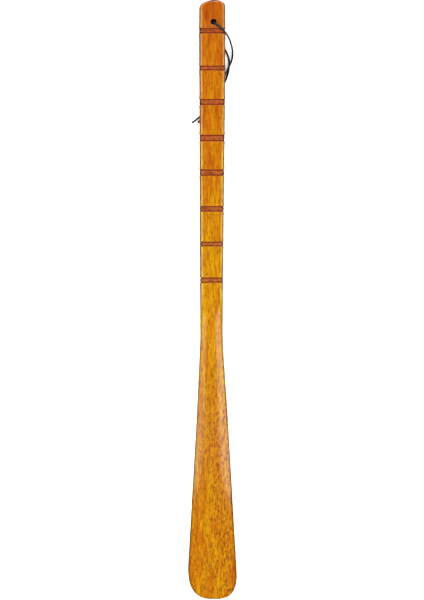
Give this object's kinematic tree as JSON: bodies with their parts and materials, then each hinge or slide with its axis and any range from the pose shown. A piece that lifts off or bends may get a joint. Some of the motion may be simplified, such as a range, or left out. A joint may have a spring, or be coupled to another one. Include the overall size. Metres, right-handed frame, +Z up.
{
  "type": "long shoehorn",
  "caption": "Long wooden shoehorn with a scooped, widening blade, a ringed handle and a thin knotted cord loop to hang it by.",
  "frame": {"origin": "on the surface the shoehorn lies on, below the middle of the wood's box", "axes": "+Z up out of the scooped front face, +Y along the handle to the end with the hole, +X to the right seen from the front"},
  "size_m": [0.0448, 0.55, 0.0225],
  "materials": {
    "lacquered_wood": "golden amber hardwood under glossy clear lacquer, with red-brown stained rings",
    "black_cord": "thin round waxed cord, near black"
  },
  "bodies": {
    "root": {"wooden_body": "lacquered_wood", "cord_loop": "black_cord", "cord_knot": "black_cord", "cord_tail_long": "black_cord", "cord_tail_short": "black_cord"}
  },
  "joints": []
}
